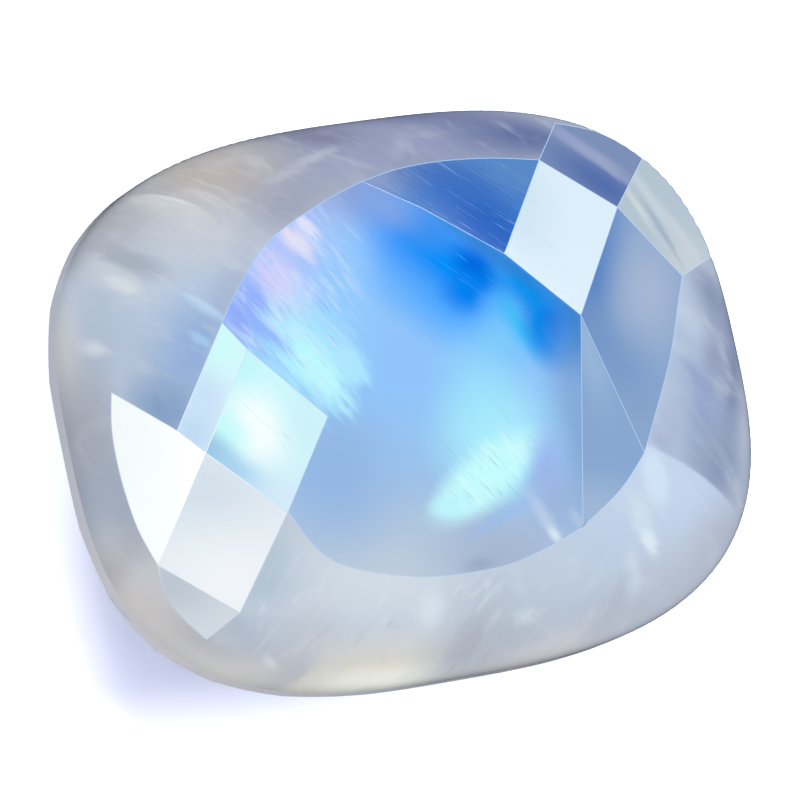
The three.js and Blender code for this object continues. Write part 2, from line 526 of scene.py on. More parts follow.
def add_lower_half(shape, region_layer, normal_layer):
    """Adds the girdle's wall and cuts the pavilion's facets into it."""
    rim = [outline_point(2 * pi * step / OUTLINE_STEPS) for step in range(OUTLINE_STEPS)]
    upper = [shape.verts.new((p.x, p.y, GIRDLE_TOP)) for p in rim]
    lower = [shape.verts.new((p.x, p.y, 0)) for p in rim]
    for i in range(OUTLINE_STEPS):
        wall = shape.faces.new((upper[i], upper[i - 1], lower[i - 1], lower[i]))
        wall[region_layer] = GIRDLE
    base = shape.faces.new(lower[::-1])
    base[region_layer] = PAVILION
    for point, normal in pavilion_planes():
        parts = [*shape.verts, *shape.edges, *shape.faces]
        cut = bmesh.ops.bisect_plane(
            shape, geom=parts, dist=CUT_GAP, plane_co=point, plane_no=normal, clear_outer=True
        )
        edges = [part for part in cut["geom_cut"] if isinstance(part, bmesh.types.BMEdge)]
        if len(edges) < 3:
            continue
        for face in bmesh.ops.contextual_create(shape, geom=edges)["faces"]:
            face[region_layer] = PAVILION
    for vertex in shape.verts:
        outward = outline_slope(vertex.co.x, vertex.co.y)
        vertex[normal_layer] = Vector((outward.x, outward.y, 0)).normalized()


def add_upper_half(shape, region_layer, edge_layer, dome_layer, edge_width):
    """Adds the dome and its facets."""
    points, edge_normals, dome_normals, triangles, regions = crown_surface(edge_width)
    made = []
    for point, edge_normal, dome_normal_here in zip(points, edge_normals, dome_normals):
        vertex = shape.verts.new(point)
        vertex[edge_layer] = edge_normal
        vertex[dome_layer] = dome_normal_here
        made.append(vertex)
    for triangle, region in zip(triangles, regions):
        face = shape.faces.new([made[i] for i in triangle])
        face[region_layer] = region


# ---------- the whole stone ----------
def stone_mesh(edge_width):
    """The stone's mesh in metres, with each face's region and the normals for its shading kept as
    attributes.
    """
    shape = bmesh.new()
    region_layer = shape.faces.layers.int.new("region")
    edge_layer = shape.verts.layers.float_vector.new("edge_polish")
    dome_layer = shape.verts.layers.float_vector.new("dome_polish")
    add_lower_half(shape, region_layer, dome_layer)
    add_upper_half(shape, region_layer, edge_layer, dome_layer, edge_width)
    bmesh.ops.remove_doubles(shape, verts=shape.verts[:], dist=WELD_GAP)
    loose = [vertex for vertex in shape.verts if not vertex.link_faces]
    bmesh.ops.delete(shape, geom=loose, context="VERTS")
    bmesh.ops.recalc_face_normals(shape, faces=shape.faces[:])
    for vertex in shape.verts:
        vertex.co *= MM
    mesh = bpy.data.meshes.new(STONE_NAME)
    shape.to_mesh(mesh)
    shape.free()
    return mesh


def set_polish(mesh):
    """Gives every facet one flat normal and the dome and girdle their own smooth ones."""
    regions = [item.value for item in mesh.attributes["region"].data]
    edge_normals = [item.vector.copy() for item in mesh.attributes["edge_polish"].data]
    dome_normals = [item.vector.copy() for item in mesh.attributes["dome_polish"].data]
    flat_normals = [facet_normal(name) for name in FACETS]
    normals = [Vector((0, 0, 1))] * len(mesh.loops)
    for polygon in mesh.polygons:
        polygon.use_smooth = True
        region = regions[polygon.index]
        polygon.material_index = region if region >= 0 else len(FACETS) - 1 - region
        for loop in polygon.loop_indices:
            corner = mesh.loops[loop].vertex_index
            if region >= 0:
                normals[loop] = flat_normals[region]
            elif region == PAVILION:
                normals[loop] = polygon.normal.copy()
            elif region == EDGE:
                normals[loop] = edge_normals[corner]
            else:
                normals[loop] = dome_normals[corner]
    mesh.normals_split_custom_set(normals)
    for name in ("region", "edge_polish", "dome_polish"):
        mesh.attributes.remove(mesh.attributes[name])


# ---------- shader helpers ----------
def paint(code):
    """A colour written as #rrggbb, as the linear values that a shader takes."""
    shares = [int(code[i:i + 2], 16) / 255 for i in (1, 3, 5)]
    return (*(s / 12.92 if s <= 0.04045 else ((s + 0.055) / 1.055) ** 2.4 for s in shares), 1.0)


def add_node(tree, kind, values=None, **settings):
    """A new node. A value that is a socket is linked to its input, and any other is set on it."""
    node = tree.nodes.new(kind)
    for name, value in settings.items():
        setattr(node, name, value)
    for socket, value in (values or {}).items():
        if isinstance(value, bpy.types.NodeSocket):
            tree.links.new(value, node.inputs[socket])
        else:
            node.inputs[socket].default_value = value
    return node


def calc(tree, operation, first, second):
    """A step of arithmetic on two numbers."""
    return add_node(tree, "ShaderNodeMath", {0: first, 1: second}, operation=operation).outputs[0]


def calc_vector(tree, operation, first, second):
    """A step of arithmetic on two vectors or colours."""
    values = {0: first, 1: second}
    return add_node(tree, "ShaderNodeVectorMath", values, operation=operation).outputs[0]


def scaled(tree, vector, factor):
    values = {0: vector, "Scale": factor}
    return add_node(tree, "ShaderNodeVectorMath", values, operation="SCALE").outputs[0]


def turned(tree, vector, angle, back=False):
    """A vector turned about Z, or turned back."""
    values = {"Vector": vector, "Angle": angle}
    settings = {"rotation_type": "Z_AXIS", "invert": back}
    return add_node(tree, "ShaderNodeVectorRotate", values, **settings).outputs[0]


def ramp(tree, value, empty, full):
    """A smooth step from 0 at one value to 1 at the other."""
    values = {"Value": value, "From Min": empty, "From Max": full}
    return add_node(tree, "ShaderNodeMapRange", values, interpolation_type="SMOOTHSTEP").outputs[0]


def drawn_noise(tree, vector, size, **values):
    """Noise drawn out to a size along each axis."""
    shrunk = calc_vector(tree, "DIVIDE", vector, size)
    values = {"Vector": shrunk, "Scale": 1.0, "Roughness": 0.6, **values}
    return add_node(tree, "ShaderNodeTexNoise", values).outputs["Fac"]


def open_group(name, inputs):
    """A new node group that gives one mask. A default of three numbers makes a vector input."""
    group = bpy.data.node_groups.new(name, "ShaderNodeTree")
    for label, default in inputs.items():
        kind = "NodeSocketVector" if isinstance(default, tuple) else "NodeSocketFloat"
        socket = group.interface.new_socket(label, in_out="INPUT", socket_type=kind)
        socket.default_value = default
    group.interface.new_socket("Mask", in_out="OUTPUT", socket_type="NodeSocketFloat")
    given = group.nodes.new("NodeGroupInput").outputs
    return group, given, group.nodes.new("NodeGroupOutput").inputs


def add_group(tree, group, values):
    return add_node(tree, "ShaderNodeGroup", values, node_tree=group).outputs[0]


# ---------- shader groups ----------
# The size in millimetres of the wisps that a mark's edge is pulled out into.
WISP_LENGTH = 0.9
WISP_WIDTH = 0.2

# The middle of a noise, the value at which streaks with no cover start, how far full cover lowers
# it, and how far on the softest streaks are whole.
NOISE_MIDDLE = 0.5
BARE_START = 0.75
COVER_REACH = 0.5
SOFTEST_SPAN = 0.3


def build_oval_group():
    """A soft-edged oval mark: 1 in its middle, a half at its size and 0 outside it.

    A pull draws its edge out into wisps along the stone's layers, and a fade lets the mark die away
    from the upper side of its turned oval to the lower.
    """
    group, given, result = open_group("soft_oval", {
        "Vector": (0, 0, 0),
        "Centre": (0, 0, 0),
        "Size": (1, 1, 1),
        "Turn": 0.0,
        "Softness": 1.0,
        "Amount": 1.0,
        "Pull": 0.0,
        "Fade": 0.0,
        "Layers": 0.0,
    })
    layered = turned(group, given["Vector"], given["Layers"], back=True)
    wisp_size = (WISP_LENGTH, WISP_WIDTH, WISP_LENGTH)
    noise = drawn_noise(group, layered, wisp_size, Detail=3.0)
    pull = calc(group, "MULTIPLY", calc(group, "SUBTRACT", noise, NOISE_MIDDLE), given["Pull"])
    pulled = scaled(group, turned(group, (1, 0, 0), given["Layers"]), pull)
    moved = calc_vector(group, "ADD", given["Vector"], pulled)
    offset = calc_vector(group, "SUBTRACT", moved, given["Centre"])
    shrunk = calc_vector(group, "DIVIDE", turned(group, offset, given["Turn"], back=True), given["Size"])
    length = add_node(group, "ShaderNodeVectorMath", {0: shrunk}, operation="LENGTH")
    inner = calc(group, "SUBTRACT", 1.0, given["Softness"])
    outer = calc(group, "ADD", 1.0, given["Softness"])
    edge = ramp(group, length.outputs["Value"], outer, inner)
    across = add_node(group, "ShaderNodeSeparateXYZ", {0: shrunk}).outputs["Y"]
    lost = calc(group, "MULTIPLY", ramp(group, across, 1.0, -1.0), given["Fade"])
    left = calc(group, "SUBTRACT", 1.0, lost)
    whole = calc(group, "MULTIPLY", edge, given["Amount"])
    group.links.new(calc(group, "MULTIPLY", whole, left), result["Mask"])
    return group


def build_streak_group():
    """Long thin marks along one direction, as the stone's own layers and cleavage lines show."""
    group, given, result = open_group("streaks", {
        "Vector": (0, 0, 0),
        "Turn": 0.0,
        "Length": 2.0,
        "Width": 0.1,
        "Cover": 0.4,
        "Sharpness": 0.1,
    })
    size = add_node(group, "ShaderNodeCombineXYZ", {
        "X": given["Length"],
        "Y": given["Width"],
        "Z": given["Length"],
    }).outputs[0]
    layered = turned(group, given["Vector"], given["Turn"], back=True)
    noise = drawn_noise(group, layered, size, Detail=2.0, Distortion=0.4)
    start = calc(group, "SUBTRACT", BARE_START, calc(group, "MULTIPLY", given["Cover"], COVER_REACH))
    span = calc(group, "SUBTRACT", SOFTEST_SPAN, given["Sharpness"])
    mask = ramp(group, noise, start, calc(group, "ADD", start, span))
    group.links.new(mask, result["Mask"])
    return group


# ---------- materials ----------
STONE_IOR = 1.52

# A mark has a centre and half sizes in millimetres, a turn in degrees, a colour, how much it hides
# of what lies under it, and how soft its edge is. It may be pulled out into wisps, broken up by a
# fine marking, or left to fade towards its lower side.
Mark = namedtuple(
    "Mark",
    "at size turn color amount soft wisp grain fade",
    defaults=(1.0, 1.0, 0.0, None, 0.0),
)

# A fine marking has a direction in degrees, a length and a width in millimetres, how much of the
# surface it covers and how sharp it is.
Grain = namedtuple("Grain", "turn length width cover sharp")

# Which way the stone's layers show, in degrees from the long axis.
FACET_LAYER_TURN = -58.0
DOME_LAYER_TURN = -37.0

# Marks with wisps die away down the dome's steep wall, between these heights in millimetres.
WALL_TOP = 5.9
WALL_FOOT = 5.0

GRAINS = {
    "layers": Grain(-60, 1.1, 0.2, 0.6, 0.05),
    "cracks": Grain(-58, 0.9, 0.08, 0.35, 0.12),
    "hairs": Grain(-44, 1.3, 0.03, 0.25, 0.18),
    "hairs_two": Grain(-41, 1.5, 0.03, 0.25, 0.20),
    "veils": Grain(-37, 0.9, 0.26, 0.5, 0.0),
    "cross_veils": Grain(48, 1.1, 0.3, 0.5, 0.0),
    "dark_veils": Grain(44, 1.4, 0.4, 0.3, 0.05),
    "specks": Grain(0, 0.06, 0.06, 0.0, 0.25),
    "clouds": Grain(-50, 1.6, 0.8, 0.5, 0.0),
}

# The body colour of each facet and of the rest, and the marks over it, the lowest first.
FINISHES = {
    "table": ("#86b5da", [
        Mark((-2.05, -4.15), (6.45, 2.35), -8, "#97afc2"),  # grey blue in the south
        Mark((-3.05, -4.8), (4.55, 1.6), -8, "#b0bdc0"),  # a milky foot
        Mark((0.6, -4.55), (1.4, 0.95), -8, "#99a7b5", 0.9),  # mauve grey beside it
        Mark((-3.3, -1.75), (1.15, 1.5), -8, "#87a7c5", 0.9),  # blue beside the west facets
        Mark((-1.3, 5), (1.75, 0.8), -18, "#8597bb", 1, 0.9),  # grey lavender in the north west
        Mark((-0.4, 3.35), (0.8, 0.9), -28, "#65a1de"),  # blue west of the azure
        Mark((0.55, 1.75), (1.65, 0.7), -36, "#53a0de", 1, 0.9),  # blue south of the azure
        Mark((-3.4, 3.45), (1.25, 1.65), -28, "#a6b5db", 0.95, 0.9, wisp=2),  # the lavender field
        Mark((-4.55, 2.25), (0.9, 0.75), -44, "#859bd9", 1, 0.8, wisp=1.2),  # violet at the rim
        Mark((-3, 3.9), (0.5, 0.24), -48, "#dbcdd3", 1, 0.7, wisp=0.8),  # peach
        Mark((-2.65, 4.25), (0.45, 0.16), -51, "#d0d0dd", 1, 0.6, wisp=0.6),  # a white streak
        Mark((-3.55, 2.75), (1, 0.45), -59, "#c5c2db", 1, 0.8, wisp=1.6),  # pink
        Mark((-2.45, 1.9), (0.8, 1.7), -20, "#88bcde", 0.9),  # sky blue beside it
        Mark((-3.4, 1.15), (1.25, 1.05), -59, "#9dd4dd", 1, 0.6, wisp=2.2),  # the streaked cyan
        Mark((-3.25, 0.8), (1.1, 0.45), -59, "#afe5de", 1, 0.7, wisp=2),  # its brightest part
        Mark((-2.3, 0.7), (0.55, 0.35), -70, "#a0d6de", 0.9, 0.5, wisp=0.8),  # its east lobe
        Mark((-4.25, 1.8), (0.75, 0.16), -55, "#85aada", 0.9, 0.8, wisp=1),  # a blue streak above it
        Mark((0.9, 2.95), (1.95, 0.9), -44, "#0081d9", 1, 0.75),  # the azure field
        Mark((0.3, 3.85), (0.8, 0.4), -34, "#3b87d1", 0.9, 0.9),  # its west end
        Mark((-0.5, 4.5), (0.7, 0.4), -28, "#7a99c7", 0.9),  # lavender blue in the north
        Mark((1.6, 2.6), (0.6, 0.45), -57, "#005ec1", 1, 0.8),  # its darkest part
        Mark((1.2, 2.1), (0.55, 0.45), -8, "#0076d1", 1, 0.8),  # its south lobe
        Mark((1.95, 1.6), (0.45, 0.29), -28, "#4199db", 0.9, 0.9),  # a lighter notch
        Mark((2.75, 1.9), (0.95, 0.55), -51, "#0a88d1", 1, 0.8),  # the east arm
        Mark((2.05, 3.05), (2.65, 0.22), -45, "#2072b5", 0.8, 0.9),  # steel blue along the north facet
        Mark((1.95, 0.9), (0.55, 0.7), -8, "#6db7dc", 0.9),  # pale cyan beside the ridge
        Mark((2.45, 0.95), (0.8, 0.25), -64, "#32aed9", 0.9),  # the cyan ridge
        Mark((3.75, 0.7), (0.55, 1.1), -4, "#2071b2", 1, 0.8),  # steel blue along the east
        Mark((3.1, 0.85), (0.55, 0.85), 5, "#007ccc", 1, 0.6),  # the second azure patch
        Mark((3.35, 1), (0.25, 0.35), 5, "#066bc0", 0.8),  # its darkest part
        Mark((3.4, -1.65), (0.7, 1.85), -8, "#7a99b8", 0.9),  # grey blue along the south east
        Mark((0.95, -0.4), (0.8, 1.15), -16, "#86c7db", 0.9),  # the upper glow
        Mark((1.1, -1.7), (1.25, 1.2), -18, "#9dd9dc", 1, 0.9),  # the glow
        Mark((0.65, -2.5), (1.55, 0.6), 27, "#b6e7dd", 1, 0.5),  # its brightest part
        Mark((-0.3, -3.05), (0.65, 0.3), 3, "#afe1dc", 1, 0.5),  # its end
        Mark((2.25, -2.5), (0.4, 0.85), -20, "#8ea3d0", 0.8),  # violet beside it
        Mark((2.35, -3.35), (0.6, 0.65), -8, "#91a4bb", 0.7),  # a violet grey under it
        Mark((0.95, -3.5), (1, 0.15), 19, "#90acce", 0.7, 0.9),  # lavender under it
        Mark((1.95, -3.75), (0.65, 0.16), -68, "#afbfca", 0.8, 0.9, wisp=0.3),  # a white feather
        Mark((2.1, -4.2), (0.2, 0.1), -70, "#cbdad8", 0.8, 0.9, wisp=0.2),  # its bright end
        Mark((2.8, -3.95), (0.3, 0.11), -67, "#a8b9c5", 0.7, 0.9, wisp=0.3),  # a short feather
        Mark((-0.05, -4.6), (0.35, 0.15), 1, "#8b99a8", 0.7),  # a dark smudge
        # pale streaks in the lavender
        Mark((-3.55, 2.25), (1.55, 2.65), -28, "#bdd1de", 0.6, 0.5, grain="layers"),
        # pale streaks in the glow
        Mark((0.65, -2.4), (1.25, 0.6), 27, "#c3e9dd", 0.8, 0.6, grain="layers"),
        # darker lines in the lavender
        Mark((-3.7, 2.05), (1.45, 2.65), -28, "#7da8d9", 0.8, 0.5, grain="cracks"),
        # dark lines across the glow
        Mark((0.7, -2.15), (1.25, 1.35), 1, "#7ab1be", 0.6, 0.5, grain="cracks"),
        # pale hairlines in the azure
        Mark((1.35, 2.8), (2.8, 1.5), -46, "#57a4d7", 0.6, 0.6, grain="hairs"),
        Mark((1.75, 1), (3.25, 4.05), -8, "#bfd4da", 0.6, 0.5, grain="specks"),  # specks
    ]),
    "north": ("#4678ae", [
        Mark((-0.4, 5.3), (1.35, 0.5), 5, "#7b8dac", 1, 0.9),  # its grey west end
        Mark((3.4, 4.9), (1.6, 0.45), -8, "#537ba9", 0.7),  # a greyer top
        Mark((1.2, 5.1), (1.15, 0.4), -18, "#3a63a0", 0.7),  # a darker middle
        Mark((2.15, 3.6), (1.7, 0.85), -42, "#0053a5", 1, 0.9),  # deep blue
        Mark((1.15, 4.85), (2.6, 1.3), -28, "#274a89", 0.8, 0.5, grain="hairs"),  # dark lines
        Mark((1.75, 4.2), (2.6, 1.6), -28, "#7ea6c5", 0.7, 0.5, grain="hairs_two"),  # pale lines
        Mark((1.8, 4.35), (2.4, 1.5), -8, "#a9c3d1", 0.6, 0.5, grain="specks"),  # specks
    ]),
    # Painted reflection: this facet's pale body stands in partly for the white card mirrored in its
    # polish.
    "north_east": ("#c9d8d8", [
        Mark((3.2, 4.05), (0.8, 1.25), -8, "#bacecf", 0.8),  # a bluer west corner
        Mark((3.4, 2.45), (1.25, 1.65), -48, "#92a6b0", 0.6, 0.5, grain="hairs"),  # faint scratches
        Mark((3.9, 3.85), (1.6, 1.5), -8, "#768792", 0.5, 0.5, grain="specks"),  # specks
    ]),
    "corner_north_east": ("#6d7e9a", [
        Mark((5.7, 4.35), (1.35, 0.5), -40, "#496090"),  # its deep blue foot
        Mark((5.65, 5.3), (1.1, 0.19), -40, "#8d96ab", 0.9, 0.9, wisp=1),  # pale streaks
        Mark((6.05, 4.8), (0.75, 0.11), -44, "#8591a6", 0.8, 0.9, wisp=0.8),  # a second pale streak
        Mark((5.15, 5.75), (0.55, 0.13), -36, "#828ca6", 0.8, 0.9, wisp=0.8),  # a third pale streak
    ]),
    "end_east": ("#a0aeb1", [
        Mark((7.7, 2.1), (0.75, 0.7), -8, "#b2bab6", 0.9),  # a paler end
        Mark((8.5, 4.6), (1, 0.45), -61, "#8198a8", 0.9),  # blue at the rim
        Mark((7.1, 3.8), (1, 0.16), -68, "#b2bbb9", 0.9, 0.9, wisp=0.8),  # a pale streak
        Mark((6.55, 3.7), (0.7, 0.11), -70, "#b5beb8", 0.9, 0.9, wisp=0.6),  # a second pale streak
        Mark((7.1, 2.95), (0.75, 0.08), -72, "#8a9ba4", 0.8, 0.9, wisp=0.6),  # a dark streak
        Mark((7.75, 2.8), (0.85, 0.14), -66, "#b3bbb9", 0.8, 0.9, wisp=0.8),  # a third pale streak
    ]),
    "east": ("#7f98b1", [
        Mark((4.75, 2.35), (0.65, 2.1), -25, "#5279a9"),  # blue along the north-east facet
        Mark((6.15, 1.45), (0.75, 1.2), -18, "#99a7b7", 0.9),  # a milky middle
        Mark((5.05, -0.5), (0.65, 1), 10, "#738fae", 0.8),  # blue in the south
        Mark((4.5, 0.4), (0.45, 0.9), 15, "#6a89ac", 0.8),  # blue towards the table
    ]),
    "south_east": ("#7e9bb7", [
        Mark((4.1, 0.15), (0.35, 1.1), 3, "#8da8bd", 0.9),  # a paler top
        Mark((3.2, -3.85), (1.2, 0.75), -8, "#95abbc", 0.9),  # a paler foot
        Mark((3.85, -1.8), (1.6, 2.55), -8, "#d1dad9", 0.7, 0.4, grain="specks"),  # specks
    ]),
    "west": ("#c1e7de", [
        Mark((-5.5, 0.35), (0.45, 1.05), -30, "#aae5db", 0.9),  # aqua
        Mark((-5.05, -0.45), (0.95, 0.65), -68, "#e6ede1", 1, 0.8),  # the bright middle
        Mark((-5.75, -0.4), (0.5, 0.35), -59, "#b8eade", 0.8),  # aqua beside it
        Mark((-6.35, -0.8), (0.5, 0.35), -42, "#7fabc0", 0.9),  # a deep blue corner
        Mark((-5.75, -1.4), (1.05, 0.3), -43, "#9bc1d2", 0.9),  # blue along the south-west
        Mark((-4.7, -2.15), (0.75, 0.65), -38, "#c7dadd", 0.9),  # pale blue foot
        Mark((-3.75, -0.7), (0.55, 0.75), -8, "#c1dfdc", 0.8),  # a faint grey east
        Mark((-4.2, -0.4), (1.25, 1.25), -8, "#b0d7d7", 0.6, 0.5, grain="cracks"),  # thin lines
    ]),
    "west_narrow": ("#cbe7e1", [
        Mark((-6.65, -0.35), (0.6, 0.75), -8, "#b8ceda"),  # a bluer foot
        Mark((-6.1, 0.6), (0.45, 0.6), -8, "#bed0dc", 0.8),  # lavender in the middle
        Mark((-5.4, 1.65), (0.4, 0.65), -28, "#c2eede", 0.9),  # a green tinge
    ]),
    # Painted reflection: this facet's near-white body stands in for a light mirrored in its polish, on top
    # of the real reflection of its mirrored card.
    "end_west": ("#f0f5e7", [
        Mark((-7.8, -2.65), (1.35, 1.5), -8, "#f8fbeb", 0.6),  # a paler foot, more painted reflection
    ]),
    # Painted reflection: this facet's pale body stands in partly for a light mirrored in its polish.
    "south_west": ("#dfe6df", [
        Mark((-6.6, -1.7), (1.3, 0.9), -38, "#d0dbd7"),  # a bluer top
        Mark((-6.3, -4), (1.35, 1.1), -8, "#edefe5", 0.9),  # a paler foot, more painted reflection
    ]),
    # Painted reflection: this facet's pale body stands in partly for a light mirrored in its polish.
    "corner_south_west": ("#e0e6de", [
        Mark((-7.75, -3.7), (0.95, 0.6), -28, "#c8d1cd", 0.9),  # a greyer top
    ]),
    "dome": ("#b4bec2", [
        Mark((-2.85, -4.85), (4.45, 1.45), -8, "#c9d2d0"),  # a paler south, painted light glowing through the stone
        Mark((-2.8, 5.95), (4.35, 1.35), 5, "#93979e"),  # the grey north-west
        Mark((-1.05, 6.6), (2.65, 0.5), -14, "#6e7180"),  # a darker north-west rim, painted shade
        Mark((-3.1, 4.85), (0.95, 0.55), 21, "#8f949f", 0.9),  # grey beside the table
        Mark((1.2, 5.8), (3.25, 1.4), -8, "#848ca0", 1, 0.9),  # the mauve north
        Mark((1.15, 6.9), (1.9, 0.28), -11, "#585e80", 0.55),  # a dark rim in the north, painted shade
        Mark((3.95, 5.85), (1.9, 0.6), -16, "#586386"),  # purple in the north, painted shade at the rim
        # a dark patch at the north rim, painted shade
        Mark((-1.45, 6.6), (0.8, 0.23), -12, "#757789", 0.9, 0.8, wisp=0.6),
        Mark((-4.75, 5.95), (1.65, 0.8), 12, "#a9a296"),  # cream in the west
        Mark((-7.1, 5.25), (1.1, 0.75), 28, "#939697"),  # mauve grey beside it
        Mark((-5.75, 4.45), (1.45, 0.9), -8, "#b8bcb9", 0.9),  # a pale field
        Mark((-6.95, 2.3), (1.4, 1.55), -18, "#aebdc6", 0.9),  # pale blue in the west
        Mark((-6.15, 1.65), (0.8, 1.4), -34, "#8ba6c3"),  # blue beside the west facets
        Mark((-7.1, 0.35), (0.75, 0.6), -38, "#809bb4"),  # deep blue at their foot
        Mark((-4.85, 3.05), (0.4, 0.9), -33, "#9aa8b6", 0.8),  # slate above the west facet
        Mark((-9, 2.05), (0.27, 2.3), -8, "#ccccc3", 0.9),  # a lighter rim in the west, painted light glowing through the stone
        Mark((-8.85, 0.3), (0.4, 1.25), -4, "#a9abaa", 0.9),  # a grey band behind the rim
        Mark((-8.55, -1.4), (0.4, 1.35), 5, "#a2abb0", 0.7),  # slate beside the end facet
        Mark((-8.25, -4.3), (2.1, 0.7), -59, "#e2ddcc"),  # a warm rim in the south-west, painted glow of light through the stone
        Mark((-8.55, -2.85), (0.3, 0.9), -30, "#adafaa", 0.4),  # a grey band in the south-west
        Mark((-6.25, -6.1), (1.6, 0.4), -22, "#eae7d5", 0.9),  # a warm rim in the south, painted glow of light through the stone
        Mark((-5.6, -3.9), (0.7, 1), 15, "#abbbbf"),  # grey blue in the south
        Mark((-4.7, -5.65), (0.75, 1), -8, "#c3c8c7", 0.9),  # lavender in the south
        Mark((-2.9, -6.75), (2.3, 0.65), -5, "#e8e3c9"),  # cream along the south, painted glow of light through the stone
        Mark((-2.8, -6.95), (2.7, 0.28), -5, "#ffffe7"),  # a warm south edge, painted glow of light through the stone
        Mark((-0.1, -6.6), (1.2, 0.65), 6, "#b9bebc", 0.9),  # grey under the south edge
        Mark((2.3, -6.9), (1.9, 0.45), 10, "#ddd8cb", 0.8),  # a warm rim in the south-east, painted glow of light through the stone
        Mark((0.45, -5.3), (1.25, 0.9), -8, "#b1bec0", 0.8),  # a blue grey field
        Mark((4.15, -4.45), (1.6, 1.35), -8, "#b4c1c7", 0.9),  # a milky field
        Mark((6.5, 0), (0.55, 1.55), -20, "#a1b2be"),  # pale blue in the east
        Mark((8.25, 1.1), (0.65, 1.15), 18, "#7c879b"),  # grey blue at the east rim, painted shade
        Mark((6.95, -1.7), (0.7, 1.7), -18, "#889ab1"),  # blue in the east
        Mark((5.6, -2.2), (0.55, 0.8), -28, "#9ca8b9"),  # lavender under the east facet
        Mark((8.2, -1), (0.4, 1.65), -20, "#768098"),  # purple at the east rim, painted shade
        Mark((7.25, -3.2), (0.8, 1.1), -4, "#7f8ca0"),  # grey at the east rim, painted shade
        Mark((9.4, -1.6), (0.65, 2.8), -11, "#6e738a"),  # a mauve rim in the east, painted shade
        Mark((7.8, -0.25), (0.35, 0.9), -22, "#838da0", 0.9),  # a darker field at the east rim, painted shade
        Mark((7.1, -1), (0.65, 0.22), -59, "#8695ad", 0.8, 0.6, wisp=0.6),  # a darker wisp in the east
        Mark((4.1, -5.5), (5.45, 3.2), -32, "#b6c5d0", 0.9, 0.02, fade=1),  # a pale south-east
        Mark((7.05, -5), (0.75, 1.35), -48, "#a6adb6"),  # a grey rim in the south-east
        Mark((5.15, -6.05), (2.05, 0.85), 25, "#b6bcbd", 0.8),  # a grey field in the south-east
        Mark((-7.7, 3.9), (0.8, 0.35), -42, "#c3c9c5", 0.9, 0.3, wisp=0.5, fade=0.4),  # a milky feather
        Mark((-7.5, 3.6), (0.35, 0.16), -42, "#ced4cd", 0.8, 0.6, wisp=0.4),  # its bright end
        Mark((-7.9, 4.55), (0.3, 0.11), -28, "#c1c4c0", 0.8, 0.5, wisp=0.3),  # a feather at its start
        Mark((-7, 4.05), (0.65, 0.27), -36, "#969c9e", 0.7, 0.9, wisp=0.4),  # a dark edge beyond it
        Mark((-5.95, 5.2), (1.15, 0.45), -30, "#bdbfb9", 0.9, 0.08, wisp=0.12, fade=1),  # a long feather
        Mark((-5.6, 5.45), (0.45, 0.04), -32, "#c6c7c0", 0.8, 0.8, wisp=0.1),  # a glint along it
        # a small feather beside it
        Mark((-4.95, 5.25), (0.65, 0.29), -36, "#b5b4ad", 0.8, 0.1, wisp=0.12, fade=1),
        # a feather beside the west facet
        Mark((-5.75, 2.65), (0.65, 0.13), -44, "#abc5d4", 1, 0.5, wisp=0.3, fade=0.6),
        Mark((-6, 1.9), (0.3, 0.11), -42, "#9cbed3", 0.9, 0.5, wisp=0.4),  # a short feather under it
        Mark((-1.95, 6), (0.7, 0.1), 14, "#a4a9ae", 0.8, 0.8, wisp=0.4),  # a wisp in the north
        Mark((-2.8, 5.65), (0.5, 0.1), 10, "#a3a8aa", 0.8, 0.8, wisp=0.4),  # a second wisp in the north
        Mark((-0.95, 5.75), (0.7, 0.08), -28, "#999ea7", 0.7, 0.8, wisp=0.4),  # a wisp at the north edge
        Mark((-8.4, 2.2), (0.26, 0.16), -38, "#d0d6d2", 0.9, 0.9, wisp=0.6),  # a cloud in the west
        Mark((-1.45, -5.5), (0.3, 0.4), -18, "#d2dcd8", 0.9, 0.9),  # a cloud in the south
        Mark((1.1, -6), (0.24, 0.18), -8, "#cbd4d2", 0.7, 0.9, wisp=0.4),  # a small cloud in the south
        Mark((4.6, -4.3), (0.7, 0.3), -72, "#c3d1d4", 0.8, 0.6, wisp=0.8),  # a cloud in the south-east
        Mark((4.7, -4.7), (0.3, 0.16), -66, "#d1ddda", 0.9, 0.6, wisp=0.4),  # a bright flaw in it
        # a second cloud in the south-east
        Mark((4.15, -5.4), (0.55, 0.22), -86, "#c5d1d3", 0.7, 0.7, wisp=0.5),
        Mark((3.75, -5.75), (0.45, 0.16), 57, "#b2babe", 0.8, 0.7, wisp=0.3),  # a grey wisp beside it
        # a bright field under the east facet
        Mark((5.15, -3.2), (0.35, 0.7), 5, "#c1d1d7", 1, 0.5, wisp=0.2),
        Mark((-4.9, -6.5), (0.35, 0.08), 36, "#b7b1aa", 0.9, 0.6, wisp=0.2),  # a dark crack in the south
        Mark((-5.55, -6), (0.23, 0.08), -44, "#e6ede7", 0.8, 0.8, wisp=0.4),  # a white fleck above it
        Mark((-4.4, -6.3), (0.4, 0.55), 36, "#e7e2cc", 0.5),  # a milky edge beside the crack
        Mark((-4.8, -6.15), (0.6, 0.28), 36, "#c4c8c5", 0.8),  # grey beside the crack
        Mark((-0.45, -6.4), (0.9, 0.3), 47, "#b1b6b6", 0.8, 0.9, wisp=0.3),  # a grey wisp in the south
        Mark((-0.8, -6.9), (0.22, 0.04), 43, "#a4a6a5", 0.7, 0.9, wisp=0.05),  # a small crack in the south
        Mark((3.35, -6.4), (0.7, 0.23), 49, "#b7bcbd", 0.7, wisp=0.3),  # a darker wisp in the south-east
        Mark((-1.35, -0.35), (11.3, 9.15), -8, "#cfd6d3", 0.25, 0.2, grain="clouds"),  # faint clouds
        # veils in the west
